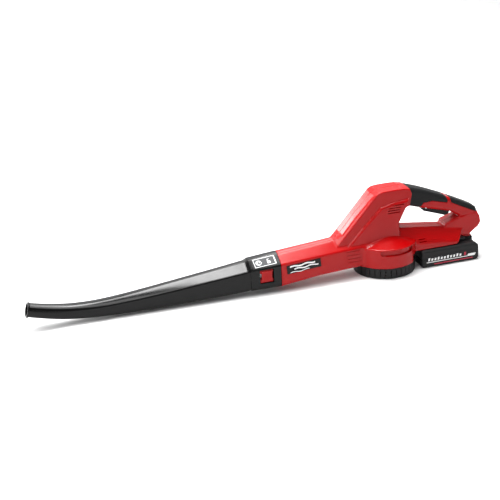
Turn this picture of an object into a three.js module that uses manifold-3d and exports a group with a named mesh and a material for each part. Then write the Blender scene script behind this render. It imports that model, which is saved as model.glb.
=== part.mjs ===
// Cordless leaf blower: a hand-held tool with a radial fan under its body, a long curved nozzle and a slide-on battery.
// Frame: the origin is the centre of the intake base's underside, on the fan's axis. +Z is up, the nozzle points
// towards -X, the battery slides out towards +X, and the tool's left side faces -Y. All sizes are in millimetres.
import * as THREE from 'three';
import { ConvexGeometry } from 'three/addons/geometries/ConvexGeometry.js';
import { ParametricGeometry } from 'three/addons/geometries/ParametricGeometry.js';
import { mergeVertices } from 'three/addons/utils/BufferGeometryUtils.js';
import Module from 'manifold-3d';

// driving dimensions
const GAP = 0.3; // clearance between pieces that touch
const WALL = 2.6; // wall of the housing shells
const TUBE_FRONT_X = -215; // joint between housing tube and nozzle collar
const COLLAR_FRONT_X = -272;
const MOUTH_X = -676;
const BASE_R = 58.5; // intake base
const BASE_H = 21;
const DRUM_R = 60.5; // fan drum, lower tier
const ROOF_R = 26; // where the drum's sloping roof meets the motor body
const ROOF_Z = 72.5;
const CHAMBER_R = 53.8;
const FLOOR_Z = 55; // partition between fan and motor
const DECK_Z = 58;
const TUBE_HALF = 31; // half widths of the tube, the motor body and its raised side panels
const BODY_HALF = 23;
const PANEL_HALF = 27;
const HANDLE_HALF = 17.5;
const GRIP_T = 2.4; // thickness of the soft grips
const FAN_R = 46.5;
const BLADES = 12;
const MOTOR_R = 18;
const MOTOR_Z = 61;
const MOTOR_TOP = 112;
const SHAFT_R = 2;
const PACK_X0 = 61; // battery pack
const PACK_X1 = 181;
const PACK_HALF = 38;
const PACK_SPLIT_Z = 17;
const PACK_TOP_Z = 35;
const RAIL_Z = 44.7; // top of the pack's rail head
const RAIL_HALF = 23.5;
const NECK_HALF = 19;
const CELL_R = 9.1;
const CELL_L = 65;
const GAUGE = [-18, 21]; // charge gauge button, y and z
const PIVOT = [80, 112.5]; // trigger pin, x and z
// housing screws: x, z and how far their posts reach to each side
const SCREWS = [[-178, 60, 28], [-96, 70, 29], [-40, 128, 29], [34, 146, 29], [60, 60, 26], [172, 80, 15.5], [128, 60, 20]];
const BASE_SCREW_R = 52.3;

// side outlines, x and z
const BODY = [[-118, 62], [-112, 78.8], [-100, 81.5], [-91, 89], [-66, 117.5], [-42, 143], [-27, 158.5], [-17, 163],
  [-8, 163.9], [14, 163.9], [30, 162.3], [50, 157.5], [44, 125], [36, 122], [22, 94], [24, 80], [24, 62]];
const PANEL = [[-86, 69], [-53, 97], [-16, 131.5], [2, 136], [28, 138.5], [43, 141], [40, 126], [34.5, 121.5],
  [20.6, 94], [22.5, 80], [22.5, 69]];
const HANDLE = [[28, 162.6], [46, 159.3], [70, 151], [95, 141], [120, 130], [145, 118.2], [171, 105.3], [184, 98],
  [187.5, 89], [180, 80], [150, 84.5], [129, 97.5], [77, 111.5], [43, 122], [28, 126]];
const COLUMN = [[112, 52], [119, 66], [121, 75], [150, 84.5], [168, 87], [186.5, 88.5], [192, 79], [194, 67],
  [189, 59], [176, 49.5], [168, 42], [130, 42]];
const GRIP_FRONT = [[38, 172], [43, 160], [49, 143.5], [45.5, 130], [46, 118], [66, 114], [74, 124], [92, 125],
  [122, 117], [124, 121], [121, 128.5], [119.5, 145], [60, 172]];
const GRIP_REAR = [[123, 140], [124, 130.5], [128.5, 126], [131, 116], [155, 103.5], [184, 89.5], [196, 92],
  [196, 110], [160, 130]];
const TRIGGER = [[75, 108], [78, 104.5], [98, 97.5], [122, 89], [129.5, 91], [131, 97], [127, 105], [82, 117.5],
  [75, 115]];

const wasm = await Module();
wasm.setup();

// ---------------------------------------------------------------- shapes
// a closed solid from a three.js geometry, faces turned outwards
function solid(geometry) {
  const bare = geometry.clone();
  bare.deleteAttribute('normal');
  bare.deleteAttribute('uv');
  const merged = mergeVertices(bare, 1e-4);
  const index = merged.index.array;
  const p = merged.attributes.position.array;
  const tri = [];
  let volume = 0;
  for (let i = 0; i < index.length; i += 3) {
    const [a, b, c] = [index[i], index[i + 1], index[i + 2]];
    if (a === b || b === c || c === a) continue;
    tri.push(a, b, c);
    const [u, v, w] = [a, b, c].map((k) => new THREE.Vector3().fromArray(p, 3 * k));
    volume += u.dot(v.cross(w));
  }
  if (volume < 0) tri.reverse();
  return new wasm.Manifold(new wasm.Mesh({
    numProp: 3, vertProperties: new Float32Array(p), triVerts: new Uint32Array(tri),
  }));
}

function geometryOf(body) {
  const mesh = body.getMesh();
  const geometry = new THREE.BufferGeometry();
  geometry.setAttribute('position', new THREE.BufferAttribute(new Float32Array(mesh.vertProperties), 3));
  geometry.setIndex(new THREE.BufferAttribute(new Uint32Array(mesh.triVerts), 1));
  return geometry;
}

const join = (parts) => parts.reduce((sum, part) => sum.add(part));
const cut = (body, parts) => parts.reduce((rest, part) => rest.subtract(part), body);

function block(x0, x1, y0, y1, z0, z1) {
  const g = new THREE.BoxGeometry(x1 - x0, y1 - y0, z1 - z0);
  g.translate((x0 + x1) / 2, (y0 + y1) / 2, (z0 + z1) / 2);
  return solid(g);
}

// an outline in x and z, carried across in y, with its side edges bevelled
function prism(points, y0, y1, bevel = 0, steps = 1) {
  const shape = new THREE.Shape(points.map(([x, z]) => new THREE.Vector2(x, z)));
  const g = new THREE.ExtrudeGeometry(shape, {
    depth: y1 - y0 - 2 * bevel, bevelEnabled: bevel > 0, bevelThickness: bevel, bevelSize: bevel,
    bevelOffset: -bevel, bevelSegments: steps, steps: 1,
  });
  g.rotateX(Math.PI / 2);
  g.translate(0, y1 - bevel, 0);
  return solid(g);
}

function rodZ(r, z0, z1, x = 0, y = 0, sides = 24, rTop = r) {
  const g = new THREE.CylinderGeometry(rTop, r, z1 - z0, sides);
  g.rotateX(Math.PI / 2);
  g.translate(x, y, (z0 + z1) / 2);
  return solid(g);
}

function rodY(r, y0, y1, x, z, sides = 20) {
  const g = new THREE.CylinderGeometry(r, r, y1 - y0, sides);
  g.translate(x, (y0 + y1) / 2, z);
  return solid(g);
}

// a body turned about Z: its profile lists radius and height, from axis to axis, or round a ring's section
function turned(profile, sides = 48) {
  const line = profile[0][0] > 0 ? [...profile, profile[0]] : profile;
  const g = new THREE.LatheGeometry(line.map(([r, z]) => new THREE.Vector2(r, z)), sides);
  g.rotateX(Math.PI / 2);
  return solid(g);
}

// an outline moved inwards by a distance, or outwards by a negative one
function inset(points, d) {
  const n = points.length;
  let area = 0;
  points.forEach(([x, y], i) => {
    const [u, v] = points[(i + 1) % n];
    area += x * v - u * y;
  });
  const s = Math.sign(area);
  return points.map((p, i) => {
    const a = points[(i + n - 1) % n];
    const b = points[(i + 1) % n];
    const u = new THREE.Vector2(p[0] - a[0], p[1] - a[1]).normalize();
    const v = new THREE.Vector2(b[0] - p[0], b[1] - p[1]).normalize();
    const nu = new THREE.Vector2(-u.y * s, u.x * s);
    const nv = new THREE.Vector2(-v.y * s, v.x * s);
    const k = d / (1 + nu.dot(nv));
    return [p[0] + (nu.x + nv.x) * k, p[1] + (nu.y + nv.y) * k];
  });
}

// convex body through sections across x: each is an x and an outline in y and z
function hull(sections) {
  const points = [];
  for (const [x, outline] of sections) for (const [y, z] of outline) points.push(new THREE.Vector3(x, y, z));
  return solid(new ConvexGeometry(points));
}

const mirrored = (half) => [...half, ...half.map(([y, z]) => [-y, z]).reverse()];

// a close-wound spring standing along z
function coil(r, wire, z0, z1, turns, x, y) {
  class Helix extends THREE.Curve {
    getPoint(t, target = new THREE.Vector3()) {
      const a = 2 * Math.PI * turns * t;
      return target.set(x + r * Math.cos(a), y + r * Math.sin(a), z0 + wire + (z1 - z0 - 2 * wire) * t);
    }
  }
  const section = new THREE.Shape();
  section.absarc(0, 0, wire, 0, 2 * Math.PI, false);
  return solid(new THREE.ExtrudeGeometry(section, {
    steps: turns * 8, curveSegments: 2, bevelEnabled: false, extrudePath: new Helix(),
  }));
}

// ---------------------------------------------------------------- materials
const finish = (color, roughness, metalness = 0) => new THREE.MeshStandardMaterial({ color, roughness, metalness });
const RED = () => finish(0xb8060c, 0.28);
const BLACK_GLOSS = () => finish(0x0b0c0d, 0.22);
const BLACK = () => finish(0x1d1f21, 0.6);
const RUBBER = () => finish(0x1a1b1c, 0.8);
const STEEL = () => finish(0x9a9ea2, 0.35, 1);
const ZINC = () => finish(0xb4b6b8, 0.4, 1);
const BRASS = () => finish(0xb08d4a, 0.35, 1);
const COPPER = () => finish(0xa8623a, 0.4, 1);

const blower = new THREE.Group();
blower.name = 'leaf_blower';
function add(name, body, material, parent = blower) {
  const mesh = new THREE.Mesh(body instanceof THREE.BufferGeometry ? body : geometryOf(body), material);
  mesh.name = name;
  parent.add(mesh);
  return mesh;
}

// ---------------------------------------------------------------- air tube and nozzle
// The tube's section: a level ridge, a facet sloping down to a crease on each side, upright sides, a rounded underside.
const ROOF = [[0, 1.12], [0.12, 1.115], [0.22, 1.08], [0.48, 0.92], [0.74, 0.76], [1, 0.6], [1, 0.28], [1, -0.04],
  [1, -0.36], [1, -0.68], [0.96, -0.78], [0.86, -0.84], [0.57, -0.85], [0.29, -0.858], [0, -0.86]];
const ROOF_CORNERS = [[0.22, 1.08], [1, 0.6], [1, -0.68], [0.86, -0.84]];
// The collar and nozzle run along these stations: x, height of the centre, half width.
const COLLAR_LINE = [[TUBE_FRONT_X, 36.05, 31], [COLLAR_FRONT_X, 34.1, 28.6]];
const NOZZLE_LINE = [[-278, 32.4, 26.9], [-330, 28.6, 24.7], [-370, 26.2, 23.1], [-410, 23.7, 21.6], [-450, 21.4, 20],
  [-490, 19.6, 18.3], [-530, 18.3, 16.6], [-570, 18.9, 15.1], [-610, 23, 14.2], [-650, 31.4, 13.3],
  [MOUTH_X, 38.9, 12.8]];
const NOZZLE_WALL = 2.2;
const COLLAR_WALL = 3;
const SPIGOT_X = -262;

// the housing tube's corner heights at three stations: ridge, crease, side foot, underside
const TUBE = [[TUBE_FRONT_X, 70.8, 54.5, 15, 9.4], [-140, 76.6, 58.8, 22.2, 17.4], [-58, 83, 61.8, 25.6, 21.6]];

function tubeSection([, ridge, crease, foot, under], d = 0) {
  const w = TUBE_HALF;
  return inset(mirrored([[0.22 * w, ridge - 1.2], [w, crease], [w, foot], [0.86 * w, under]]), d);
}

function tubeHull(d, x0 = TUBE_FRONT_X, x1 = -58) {
  const parts = [];
  for (const [a, b] of [[TUBE[0], TUBE[1]], [TUBE[1], TUBE[2]]]) {
    parts.push(hull([[a[0], tubeSection(a, d)], [b[0], tubeSection(b, d)]]));
  }
  return join(parts).intersect(block(x0, x1, -60, 60, -20, 120));
}

// the collar's section at one x, its half width reduced by d
function collarSection(x, d) {
  const [[xa, za, ka], [xb, zb, kb]] = COLLAR_LINE;
  const t = (x - xa) / (xb - xa);
  const k = ka + (kb - ka) * t - d;
  const zc = za + (zb - za) * t;
  return mirrored(ROOF_CORNERS.map(([y, z]) => [y * k, zc + z * k]));
}

function makeNozzle() {
  const middle = new THREE.CatmullRomCurve3(NOZZLE_LINE.map(([x, z, k]) => new THREE.Vector3(x, k, z)));
  const rings = []; // x, centre height, half width, share of the round section, slope
  const collar = (x, d) => {
    const [[xa, za, ka], [xb, zb, kb]] = COLLAR_LINE;
    const t = (x - xa) / (xb - xa);
    return [x, za + (zb - za) * t, ka + (kb - ka) * t - d, 0, 0];
  };
  const along = (t, d) => {
    const p = middle.getPoint(t);
    const v = middle.getTangent(t);
    const round = THREE.MathUtils.smoothstep(-p.x, 290, 600);
    return [p.x, p.z, p.y - d, round, v.z / v.x * THREE.MathUtils.smoothstep(-p.x, 280, 340)];
  };
  rings.push(collar(TUBE_FRONT_X - GAP, 0), collar(-240, 0), collar(COLLAR_FRONT_X, 0));
  const outer = 22;
  for (let i = 0; i <= outer - 1; i++) rings.push(along(i / outer * 0.985, 0));
  rings.push(along(0.985, -0.9), along(1, -0.9), along(1, 1.4));
  const inner = 14;
  for (let i = inner - 1; i >= 0; i--) rings.push(along(i / inner * 0.97, NOZZLE_WALL));
  rings.push(collar(COLLAR_FRONT_X, 3.6), collar(SPIGOT_X - 2, COLLAR_WALL), collar(TUBE_FRONT_X - GAP, COLLAR_WALL));
  const half = ROOF.length;
  const loop = mirrored(ROOF.slice(1, half - 1));
  loop.unshift(ROOF[0]);
  loop.splice(half - 1, 0, ROOF[half - 1]);
  const around = loop.length;
  const g = new ParametricGeometry((u, v, target) => {
    const [x, zc, k, round, slope] = rings[Math.round(v * rings.length) % rings.length];
    const [py, pz] = loop[Math.round(u * around) % around];
    const r = Math.hypot(py, pz);
    const y = THREE.MathUtils.lerp(py, py / r, round) * k;
    const n = THREE.MathUtils.lerp(pz, pz / r, round) * k;
    const c = 1 / Math.hypot(1, slope);
    target.set(x - n * slope * c, y, zc + n * c);
  }, around, rings.length);
  const windowCut = block(-253.5, -232.5, -40, -22, 26, 47);
  return solid(g).subtract(windowCut);
}
add('nozzle', makeNozzle(), BLACK_GLOSS());

// ---------------------------------------------------------------- nozzle lock
// A red push button sits in a window in the collar's left side. A leaf spring holds it out.
function makeLockButton() {
  const cap = prism([[-253, 26.5], [-233, 26.5], [-233, 46.5], [-253, 46.5]], -31, -26.4, 0.9);
  const flange = block(-255, -231, -26.0, -24.7, 24.5, 48.5);
  return join([cap, flange, block(-252, -234, -27, -25, 27.5, 45.5)]);
}
add('lock_button', makeLockButton(), RED());

function makeLockSpring() {
  const t = 0.4;
  const line = [[-270, -24.2], [-262, -24.0], [-254, -22.6], [-235, -23.9]];
  const shape = new THREE.Shape([...line, ...line.slice().reverse().map(([x, y]) => [x, y + t])]
    .map(([x, y]) => new THREE.Vector2(x, y)));
  const g = new THREE.ExtrudeGeometry(shape, { depth: 9, bevelEnabled: false });
  g.translate(0, 0, 32);
  return solid(g);
}
add('lock_spring', makeLockSpring(), STEEL());

// the collar's label plate on the left upper facet
const plate = (w, h, t, bevel, x, y, z, turnX, turnY) => {
  const shape = new THREE.Shape([[-w / 2, -h / 2], [w / 2, -h / 2], [w / 2, h / 2], [-w / 2, h / 2]]
    .map(([a, b]) => new THREE.Vector2(a, b)));
  const g = new THREE.ExtrudeGeometry(shape, {
    depth: t - bevel, bevelEnabled: true, bevelThickness: bevel, bevelSize: bevel, bevelOffset: -bevel, bevelSegments: 1,
  });
  g.rotateX(turnX);
  g.rotateY(turnY);
  g.translate(x, y, z);
  return solid(g);
};
const FACET = Math.atan2(0.48, 0.78); // slope of the roof facet
function makeLabel() {
  const [x, k, zc] = [-243, 29.8, 35.1];
  const lift = 0.55;
  const y = -(0.61 * k + Math.sin(FACET) * lift);
  return plate(42, 20, 0.7, 0.2, x, y, zc + 0.84 * k + Math.cos(FACET) * lift, FACET, -0.075);
}
add('nozzle_label', makeLabel(), finish(0x3a3d40, 0.5));

// ---------------------------------------------------------------- housing shells
const handleAt = (d) => prism(inset(HANDLE, d), -HANDLE_HALF + d, HANDLE_HALF - d, 6 - 0.6 * d, 2);
const handleSolid = handleAt(0);

function bridgeSection(x, top, crease, flank, d) {
  return [x, inset(mirrored([[15, top], [24, crease], [33, flank], [33, 36]]), d)];
}
const bridge = (d) => hull([
  bridgeSection(20 + d, 82.5, 73, 56, d), bridgeSection(138 - d, 66.5, 55, 45, d),
  [148 - d, inset(mirrored([[14, 60], [21, 52], [27, 44], [27, 40]]), d)],
]);

function makeHousing() {
  const drum = turned([[0, BASE_H + GAP], [DRUM_R - 1.2, BASE_H + GAP], [DRUM_R, BASE_H + 1.5], [DRUM_R, 53],
    [DRUM_R, 56.8], [DRUM_R - 1.6, 58.6], [44, 67], [ROOF_R, ROOF_Z], [0, ROOF_Z]], 48);
  let body = join([
    tubeHull(0, TUBE_FRONT_X, -50), drum, prism(BODY, -BODY_HALF, BODY_HALF, 5, 1),
    prism(PANEL, -PANEL_HALF, PANEL_HALF, 2, 1), handleSolid, prism(COLUMN, -HANDLE_HALF, HANDLE_HALF, 4, 1),
    bridge(0),
  ]);
  const outside = body;
  const chamber = turned([[0, 20], [57.8, 20], [57.8, 42], [CHAMBER_R, 44.5], [CHAMBER_R, FLOOR_Z], [0, FLOOR_Z]], 48);
  const scoop = turned([[56.6, 45.5], [70, 45.5], [70, 56], [56.6, 56]], 48).intersect(block(-26, 14, -80, 80, 40, 60));
  const motorRoom = prism(inset(BODY, WALL), -BODY_HALF + WALL, BODY_HALF - WALL, 3.5, 1)
    .intersect(block(-58, 60, -40, 40, DECK_Z, 170));
  const roofRoom = turned([[0, DECK_Z], [54, DECK_Z], [43, 64], [ROOF_R, ROOF_Z - 3.2], [0, ROOF_Z - 3.2]], 48)
    .intersect(block(-48, 60, -60, 60, 50, 80));
  const handleRoom = prism(inset(HANDLE, 5.2), -12, 12, 2, 1);
  const columnRoom = prism(inset(COLUMN, 3.2), -HANDLE_HALF + 3.2, HANDLE_HALF - 3.2, 2, 1)
    .intersect(block(100, 200, -40, 40, 53, 100));
  const bridgeRoom = bridge(WALL).intersect(block(22, 150, -40, 40, 48.5, 90)).subtract(rodZ(DRUM_R, 0, DECK_Z, 0, 0, 48));
  const duct = tubeHull(WALL, TUBE_FRONT_X - 1, -61).add(block(-75, -20, -TUBE_HALF + WALL, TUBE_HALF - WALL, 28, FLOOR_Z));
  const railRoom = join([
    block(PACK_X0 - 1, 200, -RAIL_HALF - 0.5, RAIL_HALF + 0.5, 39.1, 45.3),
    block(PACK_X0 - 1, 200, -NECK_HALF - 0.5, NECK_HALF + 0.5, 30, 40),
    block(150, 200, -7, 7, 45, 48),
    block(157.6, 200, -16, 16, 40, 50),
    block(PACK_X0 + 1, PACK_X0 + 20, -14, 14, 45, 50),
  ]);
  body = cut(body, [
    chamber, scoop, motorRoom, handleRoom, columnRoom, bridgeRoom, duct, railRoom,
    roofRoom, rodZ(16, FLOOR_Z - 1, DECK_Z + 1),
    block(40, 200, -50, 50, 20, 35.4),
    prism([[73, 98], [73.5, 120], [83, 121.5], [133, 114], [135, 84], [100, 84]], -11.2, 11.2),
  ]);
  // front flange and spigot that the collar slides over, open on the left for the lock button
  const flange = tubeHull(0, TUBE_FRONT_X, TUBE_FRONT_X + 4)
    .subtract(hull([[-220, collarSection(TUBE_FRONT_X, 6)], [-205, collarSection(TUBE_FRONT_X, 6)]]));
  const sleeve = (x0, x1, d) => hull([[x0, collarSection(x0, d)], [x1, collarSection(x1, d)]]);
  const spigot = cut(sleeve(TUBE_FRONT_X + 3, SPIGOT_X, COLLAR_WALL + 0.6), [
    sleeve(TUBE_FRONT_X + 6, SPIGOT_X - 2, 6.2), block(-270, -229, -40, -18, 23, 50),
  ]);
  body = join([body, flange, spigot]);
  // screw posts across the shells, and posts for the base's screws
  for (const [x, z, reach] of SCREWS) body = body.add(rodY(4.2, -reach, reach, x, z, 12).intersect(outside));
  for (const [x, y] of baseScrewPlaces()) {
    const web = block(x - 4, x + 4, Math.min(y, y * 1.12), Math.max(y, y * 1.12), 24.6, 36);
    body = join([body, rodZ(4, 24.6, 36, x, y, 12), web.intersect(rodZ(DRUM_R - 1, 20, 40))]);
  }
  for (const [x, z] of SCREWS) {
    body = cut(body, [rodY(1.75, -14, 40, x, z, 10), rodY(3.6, 9, 60, x, z, 12)]);
  }
  for (const [x, y] of baseScrewPlaces()) body = body.subtract(rodZ(1.65, 20, 33, x, y, 10));
  for (const s of [-1, 1]) {
    body = body.subtract(rodY(1.8, Math.min(s * 9, s * 15.5), Math.max(s * 9, s * 15.5), ...PIVOT, 14));
    body = cut(body, ventSlots(s));
  }
  return body;
}

function baseScrewPlaces() {
  return [45, 135, 225, 315].map((deg) => {
    const a = THREE.MathUtils.degToRad(deg);
    return [BASE_SCREW_R * Math.cos(a), BASE_SCREW_R * Math.sin(a)];
  });
}

// cooling slots: four by the hand opening, three above the battery, four where the tube meets the drum
function ventSlots(s) {
  const rows = [[-3, 22, 118], [-3, 22, 122.6], [-1, 24, 127.2], [10, 30, 131.8], [58, 72, 56.5], [59, 74, 52]];
  return rows.map(([x0, x1, z]) => block(x0, x1, Math.min(s * 17, s * 45), Math.max(s * 17, s * 45), z, z + 1.6));
}

const gripCut = handleAt(-0.05).subtract(handleAt(GRIP_T + GAP));
const gripBody = handleSolid.subtract(handleAt(GRIP_T));
const housing = cut(makeHousing(), [
  prism(GRIP_FRONT, -30, 30).intersect(gripCut), prism(GRIP_REAR, -30, 30).intersect(gripCut),
]);
add('housing_left', housing.intersect(block(-400, 300, -90, -GAP / 2, -10, 200)), RED());
add('housing_right', housing.intersect(block(-400, 300, GAP / 2, 90, -10, 200)), RED());
add('grip_front', prism(inset(GRIP_FRONT, GAP), -30, 30).intersect(gripBody), RUBBER());
add('grip_rear', prism(inset(GRIP_REAR, GAP), -30, 30).intersect(gripBody), RUBBER());

// housing screws: pan heads sunk in the right shell
function makeScrew(head, headH, shank, length) {
  return geometryOf(turned([[0, 0], [head, 0], [head, headH * 0.6], [head * 0.8, headH], [shank, headH],
    [shank, length - 2], [0, length]], 10).subtract(block(-head, head, -0.5, 0.5, -1, 0.7)));
}
const screwShape = makeScrew(3.2, 2.2, 1.35, 20);
SCREWS.forEach(([x, z], i) => {
  const screw = add(`housing_screw_${i + 1}`, screwShape, ZINC());
  screw.rotation.x = Math.PI / 2;
  screw.position.set(x, 11.5, z);
});

// name plates, one on each side of the tube
function makeNameplate(s) {
  const g = new THREE.BoxGeometry(66, 1.0, 16);
  g.rotateY(-0.075);
  g.translate(-172, s * (TUBE_HALF + 0.85), 44.6);
  return g;
}
add('nameplate_left', makeNameplate(-1), BLACK_GLOSS());
add('nameplate_right', makeNameplate(1), BLACK_GLOSS());

// ---------------------------------------------------------------- intake base, inlet ring and fan
function makeBase() {
  let base = turned([[0, 0], [BASE_R - 1.5, 0], [BASE_R, 1.5], [BASE_R, BASE_H], [BASE_R - 2.5, BASE_H],
    [BASE_R - 2.5, 2.5], [0, 2.5]], 48);
  for (const [x, y] of baseScrewPlaces()) base = base.add(rodZ(4, 2, BASE_H, x, y, 12));
  const slats = 36;
  for (let i = 0; i < slats; i++) {
    const a = (i + 0.5) * 360 / slats;
    if (Math.min(...[45, 135, 225, 315].map((b) => Math.abs(a - b))) < 6) continue;
    const slot = new THREE.BoxGeometry(8, 3.2, 13);
    slot.translate(BASE_R - 1, 0, 11.2);
    slot.rotateZ(THREE.MathUtils.degToRad(a));
    base = base.subtract(solid(slot));
  }
  const spokes = 16;
  for (let i = 0; i < spokes; i++) {
    for (const [r0, r1] of [[16, 29], [32, 46]]) {
      const slot = new THREE.BoxGeometry(r1 - r0, 3.4, 8);
      slot.translate((r0 + r1) / 2, 0, 1.5);
      slot.rotateZ(THREE.MathUtils.degToRad((i + 0.5) * 360 / spokes));
      base = base.subtract(solid(slot));
    }
  }
  for (const [x, y] of baseScrewPlaces()) base = cut(base, [rodZ(3.4, -1, 3.6, x, y, 12), rodZ(1.7, 0, 30, x, y, 10)]);
  return base;
}
add('intake_base', makeBase(), BLACK());

const baseScrew = makeScrew(3, 1.9, 1.3, 30);
baseScrewPlaces().forEach(([x, y], i) => {
  add(`base_screw_${i + 1}`, baseScrew, ZINC()).position.set(x, y, 1.3);
});

function makeInletRing() {
  const ring = turned([[30.5, 21.7], [57.4, 21.7], [57.4, 24], [31.5, 24], [29.6, 26], [29.2, 30], [27.8, 30], [28, 25]], 36);
  return cut(ring, baseScrewPlaces().map(([x, y]) => rodZ(1.8, 20, 26, x, y, 10)));
}
add('inlet_ring', makeInletRing(), BLACK());

function makeFan() {
  const parts = [rodZ(FAN_R, 50, 51.6, 0, 0, 48), rodZ(9, 40, 51, 0, 0, 24),
    turned([[31, 28.4], [FAN_R, 28.4], [FAN_R, 30], [31, 30]], 48)];
  for (let i = 0; i < BLADES; i++) {
    const blade = new THREE.BoxGeometry(27, 1.6, 21.5);
    blade.rotateZ(0.55);
    blade.translate(32.5, -4, 39.9);
    blade.rotateZ(i * 2 * Math.PI / BLADES);
    parts.push(solid(blade));
  }
  return cut(join(parts).intersect(rodZ(FAN_R, 20, 60, 0, 0, 40)), [
    rodZ(30.6, 20, 31, 0, 0, 40), rodZ(SHAFT_R + GAP, 30, 60, 0, 0, 16),
  ]);
}
add('fan', makeFan(), finish(0x26282a, 0.5));
add('fan_nut', cut(rodZ(4.6, 36.2, 39.7, 0, 0, 6), [rodZ(SHAFT_R + GAP, 30, 60)]), ZINC());

// ---------------------------------------------------------------- motor
add('motor_shaft', rodZ(SHAFT_R, 35, 124), STEEL());
const MOTOR_SCREWS = [-11, 11];
add('motor_can', cut(turned([[5.6, MOTOR_Z], [MOTOR_R, MOTOR_Z], [MOTOR_R, MOTOR_TOP], [MOTOR_R - 1.3, MOTOR_TOP],
  [MOTOR_R - 1.3, MOTOR_Z + 1.8], [5.6, MOTOR_Z + 1.8]], 28), MOTOR_SCREWS.map((x) => rodZ(1.7, 55, 65, x, 0, 12))), STEEL());
const bearing = (z) => turned([[SHAFT_R + GAP, z], [5.2, z], [5.2, z + 5], [SHAFT_R + GAP, z + 5]], 14);
add('bearing_lower', bearing(61.2), BRASS());
add('bearing_upper', bearing(115.2), BRASS());
function makeMagnet(s) {
  const ring = turned([[13.4, 68], [16.3, 68], [16.3, 104], [13.4, 104]], 24);
  return ring.intersect(block(-30, 30, Math.min(2 * s, 30 * s), Math.max(2 * s, 30 * s), 60, 110));
}
add('magnet_left', makeMagnet(-1), finish(0x33302e, 0.7));
add('magnet_right', makeMagnet(1), finish(0x33302e, 0.7));
function makeArmature() {
  const parts = [rodZ(5.6, 67, 105, 0, 0, 20)];
  for (let i = 0; i < 5; i++) {
    const tooth = new THREE.BoxGeometry(9, 3.6, 34);
    tooth.translate(7.5, 0, 86);
    tooth.rotateZ(i * 2 * Math.PI / 5);
    const shoe = new THREE.BoxGeometry(1.8, 8.6, 34);
    shoe.translate(11.4, 0, 86);
    shoe.rotateZ(i * 2 * Math.PI / 5);
    parts.push(solid(tooth), solid(shoe));
  }
  return join(parts).subtract(rodZ(SHAFT_R + GAP, 60, 110));
}
add('armature', makeArmature(), COPPER());
add('commutator', turned([[SHAFT_R + GAP, 105.6], [5, 105.6], [5, 113.8], [SHAFT_R + GAP, 113.8]], 20), BRASS());
function makeEndCap() {
  return turned([[5.5, MOTOR_TOP + GAP], [MOTOR_R, MOTOR_TOP + GAP], [MOTOR_R, 118], [12, 121], [5.5, 121]], 28);
}
add('motor_end_cap', makeEndCap(), BLACK());
add('brush_front', block(-13, -5.4, -2.2, 2.2, 107.2, 111.6), finish(0x2b2b2b, 0.8));
add('brush_rear', block(5.4, 13, -2.2, 2.2, 107.2, 111.6), finish(0x2b2b2b, 0.8));

function makeMotorPlate() {
  const disc = rodZ(27, DECK_Z + GAP, MOTOR_Z - GAP, 0, 0, 28);
  return cut(disc, [rodZ(5.6, 50, 70), ...MOTOR_SCREWS.map((x) => rodZ(1.7, 50, 70, x, 0, 12))]);
}
add('motor_plate', makeMotorPlate(), finish(0x8e9296, 0.5, 1));
const motorScrew = makeScrew(2.8, 1.6, 1.4, 7);
MOTOR_SCREWS.forEach((x, i) => add(`motor_screw_${i + 1}`, motorScrew, ZINC()).position.set(x, 0, 56.2));

// ---------------------------------------------------------------- trigger and switch
function makeTrigger() {
  return prism(TRIGGER, -10.6, 10.6, 1.6, 1).subtract(rodY(1.8, -20, 20, ...PIVOT, 14));
}
add('trigger', makeTrigger(), BLACK());
add('trigger_pin', rodY(1.5, -15, 15, ...PIVOT, 14), STEEL());
add('trigger_spring', coil(2.6, 0.5, 109.6, 124.6, 5, 117, 0), STEEL());
add('switch_body', block(86, 104, -6.5, 6.5, 120.8, 129.3).subtract(rodZ(1.9, 118, 127.2, 98, 0, 14)), BLACK());
add('switch_plunger', rodZ(1.5, 114.2, 122.8, 98, 0, 12), finish(0xd8d6d0, 0.5));

// ---------------------------------------------------------------- battery terminals and leads
function makeTerminalBlock() {
  const base = block(PACK_X0 + 1.4, PACK_X0 + 19.6, -13.6, 13.6, 45.6, 49.6);
  return cut(base, [-9, 9].map((y) => block(PACK_X0 + 3, PACK_X0 + 18, y - 0.75, y + 0.75, 44, 48.4)));
}
add('terminal_block', makeTerminalBlock(), BLACK());
[-9, 9].forEach((y, i) => {
  add(`contact_blade_${i + 1}`, block(PACK_X0 + 3.4, PACK_X0 + 17.6, y - 0.4, y + 0.4, 37.5, 48.1), BRASS());
});

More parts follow.
